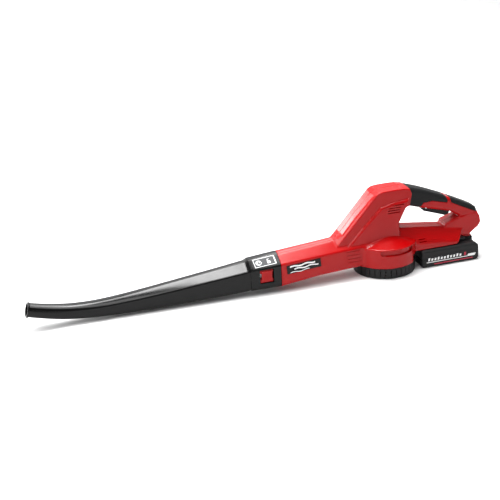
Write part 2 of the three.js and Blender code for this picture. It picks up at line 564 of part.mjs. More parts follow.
// ---------------------------------------------------------------- battery pack
const PACK_SIDE = [[PACK_X0, 6], [PACK_X0 + 4, 0.3], [PACK_X1 - 5, 0.3], [PACK_X1, 5], [PACK_X1, 29],
  [PACK_X1 - 8, PACK_TOP_Z], [PACK_X0 + 4, PACK_TOP_Z], [PACK_X0, PACK_TOP_Z - 4]];
function makePack() {
  const shell = prism(PACK_SIDE, -PACK_HALF, PACK_HALF, 4, 1);
  const head = block(PACK_X0 + 1, 158, -RAIL_HALF, RAIL_HALF, 39.5, RAIL_Z);
  const neck = block(PACK_X0 + 1, 158, -NECK_HALF, NECK_HALF, PACK_TOP_Z - 1, 40);
  const rear = prism([[157.5, 34], [157.5, RAIL_Z], [162, RAIL_Z], [174, 38], [177, 34]], -NECK_HALF, NECK_HALF, 1);
  const room = prism(inset(PACK_SIDE, 2.2), -PACK_HALF + 2.2, PACK_HALF - 2.2, 2, 1);
  const slots = [-9, 9].map((y) => block(PACK_X0 - 2, PACK_X0 + 20, y - 1.2, y + 1.2, 36.8, 50));
  const buttonWell = block(158.6, 176.6, -14.6, 14.6, 34.8, 50);
  const springWell = rodZ(3.6, 33, 40, 167, 0, 16);
  const noseWell = block(150.6, 159, -6.6, 6.6, 41.2, 50);
  const gaugeHole = new THREE.CylinderGeometry(3.3, 3.3, 8, 16);
  gaugeHole.rotateZ(Math.PI / 2);
  gaugeHole.translate(PACK_X1, GAUGE[0], GAUGE[1]);
  return cut(join([shell, head, neck, rear]), [room, ...slots, buttonWell, springWell, noseWell, solid(gaugeHole)]);
}
const pack = makePack();
add('battery_tray', pack.intersect(block(0, 300, -50, 50, -5, PACK_SPLIT_Z - GAP / 2)), BLACK());
add('battery_cover', pack.intersect(block(0, 300, -50, 50, PACK_SPLIT_Z + GAP / 2, 60)), BLACK());

const cell = new THREE.CylinderGeometry(CELL_R, CELL_R, CELL_L, 20);
for (let i = 0; i < 5; i++) {
  add(`cell_${i + 1}`, cell, finish(0x2f6f9e, 0.4)).position.set(75.5 + 18.9 * i, 0, 12.4);
}
add('cell_board', block(66, 176, -30, 30, 23.6, 25.2), finish(0x1d5a33, 0.6));

function makeReleaseButton() {
  const top = prism([[159, 40.3], [159, 46.8], [163, 46.8], [175, 41.2], [176, 40.3]], -14.2, 14.2);
  const nose = prism([[151, 44.9], [151, 46.4], [152.5, 47.6], [160, 47.6], [160, 44.9]], -6, 6);
  return top.add(nose).subtract(rodZ(3.2, 38, 42.2, 167, 0, 16));
}
add('release_button', makeReleaseButton(), RED());
add('release_spring', coil(2.4, 0.4, 33.4, 42, 4, 167, 0), STEEL());
const gauge = add('gauge_button', rodZ(4.2, 0, 1.2, 0, 0, 16).add(rodZ(3, 0, 4.2, 0, 0, 16)), finish(0xc9c9c6, 0.5));
gauge.rotation.y = Math.PI / 2;
gauge.position.set(PACK_X1 - 3.8, ...GAUGE);

export default blower;
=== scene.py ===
import functools
import math

import bpy
import numpy as np
from mathutils import Matrix, Vector


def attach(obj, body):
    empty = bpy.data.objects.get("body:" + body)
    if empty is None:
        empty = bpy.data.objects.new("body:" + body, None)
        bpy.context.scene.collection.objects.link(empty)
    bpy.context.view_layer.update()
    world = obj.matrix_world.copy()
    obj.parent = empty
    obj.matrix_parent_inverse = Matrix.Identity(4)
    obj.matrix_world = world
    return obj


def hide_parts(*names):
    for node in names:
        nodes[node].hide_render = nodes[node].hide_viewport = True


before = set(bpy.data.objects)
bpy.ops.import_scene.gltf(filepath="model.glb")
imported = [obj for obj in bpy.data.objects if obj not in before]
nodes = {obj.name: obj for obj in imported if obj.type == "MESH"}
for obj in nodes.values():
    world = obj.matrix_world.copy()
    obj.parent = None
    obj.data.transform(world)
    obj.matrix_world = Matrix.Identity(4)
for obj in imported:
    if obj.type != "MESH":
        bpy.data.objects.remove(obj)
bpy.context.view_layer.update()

# ---------------------------------------------------------------------------------------------------------------
# Studio: pale paper that runs up behind the blower, narrow and wide softboxes overhead, softboxes at the nozzle's end
# and low behind, and a weak strip in front. The camera looks at the left side, from above and from the nozzle's end.
scene = bpy.context.scene
scene.view_settings.view_transform = "Standard"

azimuth, elevation, roll = (math.radians(v) for v in (16.3, 22.3, 3.2))
ahead = Vector((math.sin(azimuth) * math.cos(elevation), math.cos(azimuth) * math.cos(elevation), -math.sin(elevation)))
level_right = Vector((math.cos(azimuth), -math.sin(azimuth), 0))
level_up = level_right.cross(ahead)
cam_right = math.cos(roll) * level_right - math.sin(roll) * level_up
cam_up = math.sin(roll) * level_right + math.cos(roll) * level_up
distance, aside, below = 2.2498, 0.1135, 0.0144
cam_data = bpy.data.cameras.new("camera")
cam_data.lens = 85
cam_data.clip_end = 60
camera = bpy.data.objects.new("camera", cam_data)
scene.collection.objects.link(camera)
cam_at = -(ahead + aside * cam_right - below * cam_up) * distance
camera.matrix_world = Matrix((
    (cam_right.x, cam_up.x, -ahead.x, cam_at.x), (cam_right.y, cam_up.y, -ahead.y, cam_at.y),
    (cam_right.z, cam_up.z, -ahead.z, cam_at.z), (0, 0, 0, 1)))
scene.camera = camera


def mesh_of(name, points, faces):
    """A mesh from points in metres and faces."""
    mesh = bpy.data.meshes.new(name)
    mesh.from_pydata(points, [], faces)
    mesh.update()
    return mesh


def placed(name, mesh):
    """A mesh put in the scene as an object at the origin."""
    piece = bpy.data.objects.new(name, mesh)
    scene.collection.objects.link(piece)
    return piece


bend_y, bend_r, half_width = 2.6, 1.2, 7.0
floor_line = [(-6.0, 0.0), (bend_y, 0.0)] + [
    (bend_y + bend_r * math.sin(a), bend_r - bend_r * math.cos(a)) for a in np.radians(np.linspace(6, 90, 12))]
floor_line.append((3.8, 5.0))
floor_mesh = mesh_of("floor", [(x, y, z) for y, z in floor_line for x in (-half_width, half_width)],
                     [(2 * i, 2 * i + 1, 2 * i + 3, 2 * i + 2) for i in range(len(floor_line) - 1)])
floor_mesh.shade_smooth()
floor = placed("floor", floor_mesh)
paper = bpy.data.materials.new("studio paper")
paper.use_nodes = True
paper.node_tree.nodes["Principled BSDF"].inputs["Base Color"].default_value = (0.66, 0.66, 0.66, 1)
paper.node_tree.nodes["Principled BSDF"].inputs["Roughness"].default_value = 0.85
floor_mesh.materials.append(paper)

world = bpy.data.worlds.new("room")
scene.world = world
world.use_nodes = True
world.node_tree.nodes["Background"].inputs["Color"].default_value = (1, 1, 1, 1)
world.node_tree.nodes["Background"].inputs["Strength"].default_value = 0.3


def softbox(name, place, aim, width, height, power):
    data = bpy.data.lights.new(name, "AREA")
    data.shape = "RECTANGLE"
    data.size, data.size_y, data.energy = width, height, power
    lamp = bpy.data.objects.new(name, data)
    lamp.location = place
    lamp.rotation_euler = (Vector(aim) - Vector(place)).to_track_quat("-Z", "Y").to_euler()
    lamp.visible_camera = False
    scene.collection.objects.link(lamp)


softbox("overhead strip", (0.12, 0.16, 1.5), (0.08, 0.03, 0.05), 0.8, 0.2, 15)
softbox("overhead front", (-0.2, -0.42, 1.42), (-0.3, -0.05, 0.05), 0.7, 0.4, 8)
softbox("nozzle overhead", (-0.3, 0.1, 1.45), (-0.45, 0, 0.03), 0.5, 0.26, 16)
softbox("rear overhead", (0.05, 0.62, 1.38), (0, 0.05, 0.06), 0.5, 0.3, 8)
softbox("wide overhead", (-0.2, 2.6, 3.0), (-0.1, 2.4, 0.0), 6.0, 2.4, 190)
softbox("nozzle-end softbox", (-1.5, 0.05, 1.15), (-0.05, 0, 0.1), 0.5, 0.5, 9)
softbox("nozzle-end side softbox", (-1.45, -0.95, 1.3), (-0.05, 0, 0.1), 0.4, 0.4, 5)
softbox("rear low softbox", (-0.95, 2.3, 0.75), (-0.05, 0, 0.12), 1.2, 0.45, 24)
softbox("front strip", (-0.45, -2.5, 0.75), (-0.1, 0, 0.06), 2.2, 0.08, 4)

# ---------------------------------------------------------------------------------------------------------------
# Housing shells: two glossy red nylon mouldings, left and right, closed along the middle by screws from the right.
# They form the air tube, the fan drum, the motor body with its raised side panels, the loop handle and the foot.
# Each is described by a distance field in millimetres: below zero is plastic. Fields join and cut with small fillets.
GAP = 0.15
WALL, CHAMBER_R = 2.6, 53.8
TUBE_AT = (-215.0, -140.0, -58.0)
TUBE_RIDGE, TUBE_CREASE = (70.8, 76.6, 83.0), (54.5, 58.8, 61.8)
TUBE_FOOT, TUBE_UNDER = (15.0, 22.2, 25.6), (9.4, 17.4, 21.6)
TUBE_HALF, BODY_HALF, PANEL_HALF, HANDLE_HALF = 31.0, 23.0, 27.0, 17.5
DRUM_R, BASE_H = 60.5, 21.0
BODY = [(-118, 62), (-112, 78.8), (-98.5, 80.2), (-89, 86.8), (-64, 115), (-40, 140.4), (-26, 154.8), (-17, 159.4),
        (-8, 160.8), (14, 161.2), (30, 160.6), (50, 157.2), (44, 125), (36, 122), (22, 94), (24, 80), (24, 62)]
PANEL = [(-86, 62), (-53, 97), (-16, 131.5), (2, 136), (28, 138.5), (43, 141), (40, 126), (34.5, 121.5),
         (20.6, 94), (22.5, 80), (22.5, 62)]
HANDLE = [(28, 160.9), (46, 158.8), (70, 151), (95, 141), (120, 130), (145, 118.2), (171, 105.3), (184, 98),
          (187.5, 89), (180, 80), (150, 84.5), (129, 97.5), (77, 111.5), (43, 122), (28, 126)]
COLUMN = [(112, 52), (119, 66), (121, 75), (150, 84.5), (168, 87), (186.5, 88.5), (192, 79), (194, 67),
          (189, 59), (176, 49.5), (168, 42), (130, 42)]
GRIP_FRONT = [(38, 172), (43, 160), (49, 143.5), (45.5, 130), (46, 118), (66, 114), (74, 124), (92, 125),
              (122, 117), (124, 121), (121, 128.5), (119.5, 145), (60, 172)]
GRIP_REAR = [(123, 140), (124, 130.5), (128.5, 126), (131, 116), (155, 103.5), (184, 89.5), (196, 92),
             (196, 110), (160, 130)]
TRIGGER_SLOT = [(73, 98), (73.5, 120), (83, 121.5), (133, 114), (135, 84), (100, 84)]
BATTERY_RAILS = [((60, -24, 39.1), (210, 24, 45.3)), ((60, -19.5, 20), (210, 19.5, 40)),
                 ((157.6, -16, 30), (210, 16, 50)), ((40, -80, 0), (210, 80, 35.4))]
HOUSING_SCREWS = [(-178, 60), (-96, 70), (-40, 128), (34, 146), (60, 60), (172, 80), (128, 60)]


def outline(x, z, points):
    """Distance in x and z to a closed outline, below zero inside it."""
    best, inside = None, None
    for (ax, az), (bx, bz) in zip(points, points[1:] + points[:1]):
        ex, ez = bx - ax, bz - az
        wx, wz = x - ax, z - az
        t = np.clip((wx * ex + wz * ez) / (ex * ex + ez * ez), 0, 1)
        d = (wx - ex * t) ** 2 + (wz - ez * t) ** 2
        best = d if best is None else np.minimum(best, d)
        crossing = ((az <= z) != (bz <= z)) & ((ex * wz - ez * wx) * np.sign(ez) < 0)
        inside = crossing if inside is None else inside ^ crossing
    return np.sqrt(best) * np.where(inside, -1, 1)


def join(a, b, fillet=0.01):
    h = np.maximum(fillet - np.abs(a - b), 0) / fillet
    return np.minimum(a, b) - h * h * fillet / 4


def meet(a, b, fillet=0.01):
    return -join(-a, -b, fillet)


def across(flat, y, half, edge, bevel=0.0):
    """An outline's field carried across to both sides, with rounded or bevelled side edges."""
    a, b = flat + edge, np.abs(y) - half + edge
    body = np.minimum(np.maximum(a, b), 0) + np.hypot(np.maximum(a, 0), np.maximum(b, 0)) - edge
    if bevel:
        body = meet(body, (flat + np.abs(y) - half + bevel) * 0.7071, 1.5)
    return body


def box_field(x, y, z, low, high, edge=0.0):
    q = [np.abs(v - (a + b) / 2) - (b - a) / 2 + edge for v, a, b in zip((x, y, z), low, high)]
    outer = np.sqrt(sum(np.maximum(v, 0) ** 2 for v in q))
    return outer + np.minimum(np.maximum(np.maximum(q[0], q[1]), q[2]), 0) - edge


def tube_field(x, y, z, inset=0.0):
    side = np.abs(y)
    ridge, crease = np.interp(x, TUBE_AT, TUBE_RIDGE), np.interp(x, TUBE_AT, TUBE_CREASE)
    foot, under = np.interp(x, TUBE_AT, TUBE_FOOT), np.interp(x, TUBE_AT, TUBE_UNDER)
    run, rise = 0.78 * TUBE_HALF, ridge - 1.2 - crease
    roof = ((side - TUBE_HALF) * rise + (z - crease) * run) / np.hypot(run, rise)
    low = ((side - TUBE_HALF) * (foot - under) - (z - foot) * 4.3) / np.hypot(foot - under, 4.3)
    walls = meet(meet(side - TUBE_HALF, roof, 2.4), z - ridge, 5)
    return meet(meet(walls, low, 3), under - z, 4) + inset


def collar_field(x, y, z, inset):
    t = (x + 215) / -57
    half, middle = 31 - 2.4 * t - inset, 36.05 - 1.95 * t
    side = np.abs(y)
    roof = ((side - half) * 0.48 + (z - middle - 0.6 * half) * 0.78) / 0.916
    low = ((side - half) * 0.16 - (z - middle + 0.68 * half) * 0.14) / 0.2126
    walls = meet(meet(side - half, roof, 2), z - middle - 1.09 * half, 4)
    return meet(meet(walls, low, 3), middle - 0.84 * half - z, 3)


def bridge_field(x, y, z):
    t = (x - 20) / 118
    top, crease, flank = 82.5 - 16 * t, 73 - 18 * t, 56 - 11 * t
    side = np.abs(y)
    upper = ((side - 24) * (top - crease) + (z - crease) * 9) / np.hypot(top - crease, 9)
    lower = ((side - 24) * (crease - flank) + (z - crease) * 9) / np.hypot(crease - flank, 9)
    body = meet(meet(z - top, upper, 2.5), meet(lower, side - 33, 5), 2)
    body = meet(body, 36 - z, 1.5)
    return meet(meet(body, (x - 140 - (z - 40) * 0.75) * 0.8, 2), 15 - x)


BAND = np.array([(-100, 22.3, 70), (-17, 23, 162), (-101, 7, 82.5)], float)
band_out = -np.cross(BAND[1] - BAND[0], BAND[2] - BAND[0])
band_out /= np.linalg.norm(band_out)


def housing_field(x, y, z):
    side, r = np.abs(y), np.hypot(x, y)
    handle_flat = outline(x, z, HANDLE)
    handle = across(handle_flat, y, HANDLE_HALF, 7.5)
    tube = meet(tube_field(x, y, z), np.maximum(-215 - x, x + 20), 0.8)
    drum = meet(r - DRUM_R, (z - 58.2 - (DRUM_R - r) * 0.41) * 0.925, 1.6)
    drum = meet(meet(drum, z - 73, 2), BASE_H + 0.3 - z, 1)
    recess = box_field(x, side, z, (-28, 36, 46.5), (36, 90, 56.6), 2.5)
    drum = meet(drum, -np.maximum(recess, 56.6 - r), 0.8)
    body_flat = outline(x, z, BODY)
    body = across(body_flat, y, BODY_HALF, 2.5)
    band = (x - BAND[0][0]) * band_out[0] + (side - BAND[0][1]) * band_out[1] + (z - BAND[0][2]) * band_out[2]
    body = meet(body, band, 1.6)
    panel = across(outline(x, z, PANEL), y, PANEL_HALF, 0.8, 3.2)
    column = across(outline(x, z, COLUMN), y, HANDLE_HALF, 3)
    solid = join(tube, drum, 5)
    solid = join(solid, body, 1.2)
    solid = join(solid, panel, 1.0)
    solid = join(solid, bridge_field(x, y, z), 2)
    solid = join(solid, join(handle, column, 3), 3)
    # hollows
    duct = np.maximum(tube_field(x, y, z, WALL), x + 61)
    chamber = np.maximum(r - CHAMBER_R, z - 55)
    passage = box_field(x, y, z, (-75, -28.4, 28), (-20, 28.4, 55))
    room = np.maximum(np.maximum(body_flat + WALL, side - 20.4), np.maximum(-58 - x, 58 - z))
    room = np.maximum(room, band + 2.8)
    handle_room = np.maximum(handle_flat + 5.2, side - 12)
    slot_room = np.maximum(outline(x, z, TRIGGER_SLOT), side - 11.2)
    rails = [box_field(x, y, z, low, high) for low, high in BATTERY_RAILS]
    hollow = functools.reduce(np.minimum, [duct, chamber, passage, room, handle_room, slot_room, *rails])
    solid = meet(solid, -hollow, 0.6)
    # the bed that the soft grips sit in
    grips = np.minimum(outline(x, z, GRIP_FRONT), outline(x, z, GRIP_REAR))
    solid = np.maximum(solid, -np.maximum(grips, -(handle + 2.7)))
    # spigot for the nozzle's collar, with its front flange
    spigot = np.maximum(collar_field(x, y, z, 3.6), -collar_field(x, y, z, 6.2))
    spigot = np.maximum(spigot, np.maximum(-262 - x, x + 211))
    flange = np.maximum(np.maximum(tube, -collar_field(x, y, z, 6.2)), x + 211)
    return np.minimum(solid, np.minimum(spigot, flange))


def left_shell(x, y, z):
    lock_slot = box_field(x, y, z, (-270, -40, 23), (-229, -18, 50))
    return np.maximum(np.maximum(housing_field(x, y, z), -lock_slot), y + GAP)


def right_shell(x, y, z):
    field = np.maximum(housing_field(x, y, z), GAP - y)
    for sx, sz in HOUSING_SCREWS:
        reach = np.hypot(x - sx, z - sz)
        post = np.maximum(np.maximum(reach - 4.4, y - 12), GAP - y)
        field = np.minimum(field, post)
        field = np.maximum(field, -np.maximum(reach - 3.6, 9 - y))
    return field


def skin(name, field, low, high, step):
    """A closed mesh on a field's zero surface: one point for each crossed cell, moved onto the surface."""
    axes = [np.arange(a - step * 1.37, b + step * 2, step) for a, b in zip(low, high)]
    gx, gy, gz = axes[0][:, None, None], axes[1][None, :, None], axes[2][None, None, :]
    values = np.broadcast_to(field(gx, gy, gz), [len(a) for a in axes]).astype(np.float32)
    inside = values < 0
    total = np.zeros([n - 1 for n in inside.shape] + [3], np.float32)
    count = np.zeros([n - 1 for n in inside.shape], np.float32)
    base = np.stack(np.meshgrid(*[a[:-1] for a in axes], indexing="ij"), -1).astype(np.float32)
    corner = [(i, j, k) for i in (0, 1) for j in (0, 1) for k in (0, 1)]

    def at(c, a):
        return a[tuple(slice(v, n - 1 + v) for v, n in zip(c, inside.shape))]

    for a in corner:
        for axis in range(3):
            if a[axis]:
                continue
            b = tuple(v + (i == axis) for i, v in enumerate(a))
            va, vb = at(a, values), at(b, values)
            hit = at(a, inside) != at(b, inside)
            t = np.where(hit, va / np.where(hit, va - vb, 1), 0)
            for i in range(3):
                total[..., i] += np.where(hit, a[i] * step + (t * step if i == axis else 0), 0)
            count += hit
    used = count > 0
    index = -np.ones(count.shape, np.int64)
    index[used] = np.arange(used.sum())
    points = (base[used] + total[used] / count[used][:, None]).astype(np.float64)
    quads = []
    for axis in range(3):
        u, v = [i for i in range(3) if i != axis]
        lo = [slice(None)] * 3
        hi = [slice(None)] * 3
        lo[axis], hi[axis] = slice(0, -1), slice(1, None)
        cells = np.argwhere(inside[tuple(lo)] != inside[tuple(hi)])
        cells = cells[(cells[:, u] > 0) & (cells[:, u] < inside.shape[u] - 1)
                      & (cells[:, v] > 0) & (cells[:, v] < inside.shape[v] - 1)]
        ring = []
        for du, dv in ((1, 1), (0, 1), (0, 0), (1, 0)):
            c = cells.copy()
            c[:, u] -= du
            c[:, v] -= dv
            ring.append(index[c[:, 0], c[:, 1], c[:, 2]])
        ring = np.stack(ring, 1)
        flip = inside[cells[:, 0], cells[:, 1], cells[:, 2]] ^ (axis == 1)
        ring[~flip] = ring[~flip][:, ::-1]
        quads.append(ring)
    quads = np.concatenate(quads)
    reach = step * 0.6
    for _ in range(3):
        p = points.T
        f = field(p[0], p[1], p[2])
        g = np.stack([(field(*(p + d)) - field(*(p - d))) / 0.1 for d in 0.05 * np.eye(3)[:, :, None]], 1)
        move = g * (f / np.maximum((g * g).sum(1), 0.25))[:, None]
        size = np.linalg.norm(move, axis=1, keepdims=True)
        points -= move * np.minimum(1, reach / np.maximum(size, 1e-9))
    mesh = mesh_of(name, (points / 1000).tolist(), quads.tolist())
    mesh.shade_smooth()
    return placed(name, mesh)


def groove(name, blocks):
    """One mesh of separate boxes in millimetres, used as a cutter."""
    points, faces = [], []
    for low, high in blocks:
        n = len(points)
        points += [(x / 1000, y / 1000, z / 1000) for x in (low[0], high[0]) for y in (low[1], high[1])
                   for z in (low[2], high[2])]
        faces += [[n + i for i in f] for f in ((0, 1, 3, 2), (4, 6, 7, 5), (0, 4, 5, 1), (2, 3, 7, 6), (0, 2, 6, 4),
                                               (1, 5, 7, 3))]
    return mesh_of(name, points, faces)


def carve(piece, cutter):
    """Cuts a closed cutter mesh out of a piece and leaves the piece a plain mesh."""
    tool = placed("cutter", cutter)
    cut = piece.modifiers.new("cut", "BOOLEAN")
    cut.object, cut.operation, cut.solver = tool, "DIFFERENCE", "MANIFOLD"
    bake(piece)
    bpy.data.objects.remove(tool)


def bake(piece):
    """Replaces a piece's mesh by its evaluated mesh, with no modifiers left."""
    bpy.context.view_layer.update()
    done = bpy.data.meshes.new_from_object(piece.evaluated_get(bpy.context.evaluated_depsgraph_get()))
    piece.modifiers.clear()
    piece.data = done


def field_normals(piece, field):
    """Shades a skinned piece with its field's own slope, and cut faces flat."""
    mesh = piece.data
    mesh.shade_smooth()
    co = np.empty(len(mesh.vertices) * 3, np.float32)
    mesh.vertices.foreach_get("co", co)
    p = co.reshape(-1, 3).T.astype(np.float64) * 1000
    f = field(*p)
    g = np.stack([field(*(p + d)) - field(*(p - d)) for d in 0.2 * np.eye(3)[:, :, None]], 1)
    g /= np.maximum(np.linalg.norm(g, axis=1, keepdims=True), 1e-9)
    corner = np.empty(len(mesh.loops), np.int32)
    mesh.loops.foreach_get("vertex_index", corner)
    start = np.empty(len(mesh.polygons), np.int32)
    count = np.empty(len(mesh.polygons), np.int32)
    flat = np.empty(len(mesh.polygons) * 3, np.float32)
    mesh.polygons.foreach_get("loop_start", start)
    mesh.polygons.foreach_get("loop_total", count)
    mesh.polygons.foreach_get("normal", flat)
    owner = np.repeat(np.arange(len(start)), count)
    flat = flat.reshape(-1, 3)[owner]
    own = g[corner]
    good = (np.abs(f[corner]) < 0.15) & ((own * flat).sum(1) > 0.8)
    mesh.normals_split_custom_set(np.where(good[:, None], own, flat).tolist())


def surface_group():
    """Shared look of moulded or rolled surfaces: slow colour drift, fine grain, and wear that dulls and lightens."""
    group = bpy.data.node_groups.new("surface", "ShaderNodeTree")
    face = group.interface
    for label, kind, value in (
            ("Colour", "NodeSocketColor", (0.5, 0.5, 0.5, 1)), ("Worn colour", "NodeSocketColor", (0.6, 0.6, 0.6, 1)),
            ("Drift", "NodeSocketFloat", 0.1), ("Shine", "NodeSocketFloat", 0.3), ("Uneven", "NodeSocketFloat", 0.05),
            ("Grain size", "NodeSocketFloat", 900.0), ("Grain depth", "NodeSocketFloat", 0.2),
            ("Wear", "NodeSocketFloat", 0.1)):
        socket = face.new_socket(name=label, in_out="INPUT", socket_type=kind)
        socket.default_value = value
    for label, kind in (("Base Color", "NodeSocketColor"), ("Roughness", "NodeSocketFloat"),
                        ("Height", "NodeSocketFloat")):
        face.new_socket(name=label, in_out="OUTPUT", socket_type=kind)
    n, l = group.nodes, group.links
    come, go = n.new("NodeGroupInput"), n.new("NodeGroupOutput")
    place = n.new("ShaderNodeTexCoord")
    slow, fine, rubbed = (n.new("ShaderNodeTexNoise") for _ in range(3))
    for tex, scale, detail in ((slow, 14.0, 3.0), (fine, 900.0, 2.0), (rubbed, 60.0, 6.0)):
        tex.inputs["Scale"].default_value, tex.inputs["Detail"].default_value = scale, detail
        l.new(place.outputs["Object"], tex.inputs["Vector"])
    l.new(come.outputs["Grain size"], fine.inputs["Scale"])

    def maths(how, a, b, clamp=False):
        node = n.new("ShaderNodeMath")
        node.operation, node.use_clamp = how, clamp
        for i, v in enumerate((a, b)):
            if isinstance(v, (int, float)):
                node.inputs[i].default_value = v
            else:
                l.new(v, node.inputs[i])
        return node.outputs[0]

    shade = maths("ADD", maths("MULTIPLY", maths("SUBTRACT", slow.outputs["Fac"], 0.5), come.outputs["Drift"]), 1.0)
    tone = n.new("ShaderNodeVectorMath")
    tone.operation = "SCALE"
    l.new(come.outputs["Colour"], tone.inputs[0])
    l.new(shade, tone.inputs["Scale"])
    patch = maths("MULTIPLY", maths("MULTIPLY", maths("SUBTRACT", rubbed.outputs["Fac"], 0.52, True), 4.0, True),
                  come.outputs["Wear"])
    mix = n.new("ShaderNodeMix")
    mix.data_type = "RGBA"
    l.new(patch, mix.inputs["Factor"])
    l.new(tone.outputs[0], mix.inputs["A"])
    l.new(come.outputs["Worn colour"], mix.inputs["B"])
    l.new(mix.outputs["Result"], go.inputs["Base Color"])
    dull = maths("MULTIPLY", maths("SUBTRACT", rubbed.outputs["Fac"], 0.5), come.outputs["Uneven"])
    rough = maths("ADD", maths("ADD", come.outputs["Shine"], dull), maths("MULTIPLY", patch, 0.3))
    l.new(rough, go.inputs["Roughness"])
    l.new(maths("MULTIPLY", fine.outputs["Fac"], come.outputs["Grain depth"]), go.inputs["Height"])
    return group


SURFACE = surface_group()


def finish(name, colour, shine, grain=900.0, depth=0.2, drift=0.1, wear=0.1, worn=None, uneven=0.06, metallic=0.0,
           coat=0.0, coat_shine=0.05, specular=0.5, bump=0.00006):
    """A material that takes its colour, roughness and bump from the shared surface group."""
    material = bpy.data.materials.new(name)
    material.use_nodes = True
    tree = material.node_tree
    shader = tree.nodes["Principled BSDF"]
    look = tree.nodes.new("ShaderNodeGroup")
    look.node_tree = SURFACE
    worn = worn or tuple(min(1, c * 1.6 + 0.02) for c in colour)
    for label, value in (("Colour", (*colour, 1)), ("Worn colour", (*worn, 1)), ("Drift", drift), ("Shine", shine),
                         ("Uneven", uneven), ("Grain size", grain), ("Grain depth", depth), ("Wear", wear)):
        look.inputs[label].default_value = value
    relief = tree.nodes.new("ShaderNodeBump")
    relief.inputs["Strength"].default_value = 0.5
    relief.inputs["Distance"].default_value = bump
    tree.links.new(look.outputs["Base Color"], shader.inputs["Base Color"])
    tree.links.new(look.outputs["Roughness"], shader.inputs["Roughness"])
    tree.links.new(look.outputs["Height"], relief.inputs["Height"])
    tree.links.new(relief.outputs["Normal"], shader.inputs["Normal"])
    shader.inputs["Metallic"].default_value = metallic
    shader.inputs["Coat Weight"].default_value = coat
    shader.inputs["Coat Roughness"].default_value = coat_shine
    shader.inputs["Specular IOR Level"].default_value = specular
    return material


red = finish("glossy red nylon", (0.33, 0.0006, 0.0012), 0.2, grain=500, depth=0.15, drift=0.08, wear=0.03,
             worn=(0.5, 0.004, 0.006), specular=0.22)
VENTS = [(-3, 22, 118), (-3, 22, 122.6), (-1, 24, 127.2), (10, 30, 131.8), (58, 72, 56.5), (59, 74, 52)]
left = skin("shell_left", left_shell, (-264, -61.5, 8), (196, 0, 166), 1.3)
right = skin("shell_right", right_shell, (-264, 0, 8), (196, 61.5, 166), 1.3)
for shell, side, shape in ((left, -1, left_shell), (right, 1, right_shell)):
    cuts = []
    for x0, x1, z in VENTS:
        near, far = (17, 30) if z > 100 else (22, 40)
        y0, y1 = sorted((side * near, side * far))
        cuts.append(((x0, y0, z - 0.8), (x1, y1, z + 0.8)))
    y0, y1 = sorted((side * 30.1, side * 33))
    cuts += [((-88 + i, y0, z - 1.1), (-62 + i, y1, z + 1.1)) for i, z in ((0, 57), (1, 50), (2, 43), (3, 36))]
    carve(shell, groove("vents", cuts))
    field_normals(shell, shape)
    shell.data.materials.clear()
    shell.data.materials.append(red)
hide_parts("housing_left")
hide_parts("housing_right")
for shell in (left, right):
    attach(shell, "housing")

# ---------------------------------------------------------------------------------------------------------------
# Soft grips: two thin black elastomer pads moulded into beds along the top of the handle, with a red rib between
# them. Their surface has a fine dotted texture, and they follow the handle's rounded section.
soft = finish("soft grip", (0.0045, 0.0045, 0.005), 0.62, grain=1500, depth=1.0, drift=0.12, wear=0.06, uneven=0.1,
              specular=0.22, bump=0.00025)


def grip_field(x, y, z, lines):
    handle = across(outline(x, z, HANDLE), y, HANDLE_HALF, 7.5)
    pad = np.maximum(handle, -(handle + 2.4))
    return meet(pad, outline(x, z, lines) + 0.3, 0.5)


for name, lines, low, high in (("grip_pad_front", GRIP_FRONT, (40, -19, 112), (126, 19, 161)),
                               ("grip_pad_rear", GRIP_REAR, (126, -19, 87), (189, 19, 128))):
    def pad_shape(x, y, z, lines=lines):
        return grip_field(x, y, z, lines)
    pad = skin(name, pad_shape, low, high, 1.1)
    field_normals(pad, pad_shape)
    pad.data.materials.append(soft)
    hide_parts("grip_front" if "front" in name else "grip_rear")
    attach(pad, "housing")

# ---------------------------------------------------------------------------------------------------------------
# Nozzle: one glossy black moulding. Its collar has the housing's roofed section and fits over the spigot, then the
# tube tapers, turns round and rises to a beaded mouth. A square window in the collar's side holds the lock button.
gloss = finish("glossy black nylon", (0.001, 0.001, 0.0011), 0.17, grain=350, depth=0.12, drift=0.15, wear=0.05,
               worn=(0.006, 0.006, 0.007), specular=0.2)
COLLAR_BACK, COLLAR_RUN = 215.3, -56.7
TUBE_WALL, EASE_REACH, EASE_WIDTH = 2.2, 36, 14.0
NOZZLE_LINE = [(-278, 32.4, 26.9), (-330, 28.6, 24.7), (-370, 26.2, 23.1), (-410, 23.7, 21.6), (-450, 21.4, 20),
               (-490, 19.6, 18.3), (-530, 18.3, 16.6), (-570, 18.9, 15.1), (-610, 23, 14.2), (-650, 31.4, 13.3),
               (-676, 38.9, 12.8)]
ROOF = [(0, 1.12), (0.22, 1.08), (1, 0.6), (1, -0.68), (0.86, -0.84), (0, -0.86)]
AROUND = 120


def roof_section():
    """Radius of the roofed section in each direction from its middle, with slightly softened corners."""
    full = ROOF + [(-y, z) for y, z in ROOF[-2:0:-1]]
    angles = np.arange(AROUND) * 2 * math.pi / AROUND
    radii = []
    for a in angles:
        best = 9.0
        for (y0, z0), (y1, z1) in zip(full, full[1:] + full[:1]):
            det = math.cos(a) * (z1 - z0) - math.sin(a) * (y1 - y0)
            if abs(det) < 1e-9:
                continue
            t = (y0 * (z1 - z0) - z0 * (y1 - y0)) / det
            s = (y0 * math.sin(a) - z0 * math.cos(a)) / det
            if t > 0 and -1e-6 <= s <= 1 + 1e-6:
                best = min(best, t)
        radii.append(best)
    radii = np.array(radii)
    return 0.5 * radii + 0.25 * (np.roll(radii, 1) + np.roll(radii, -1))


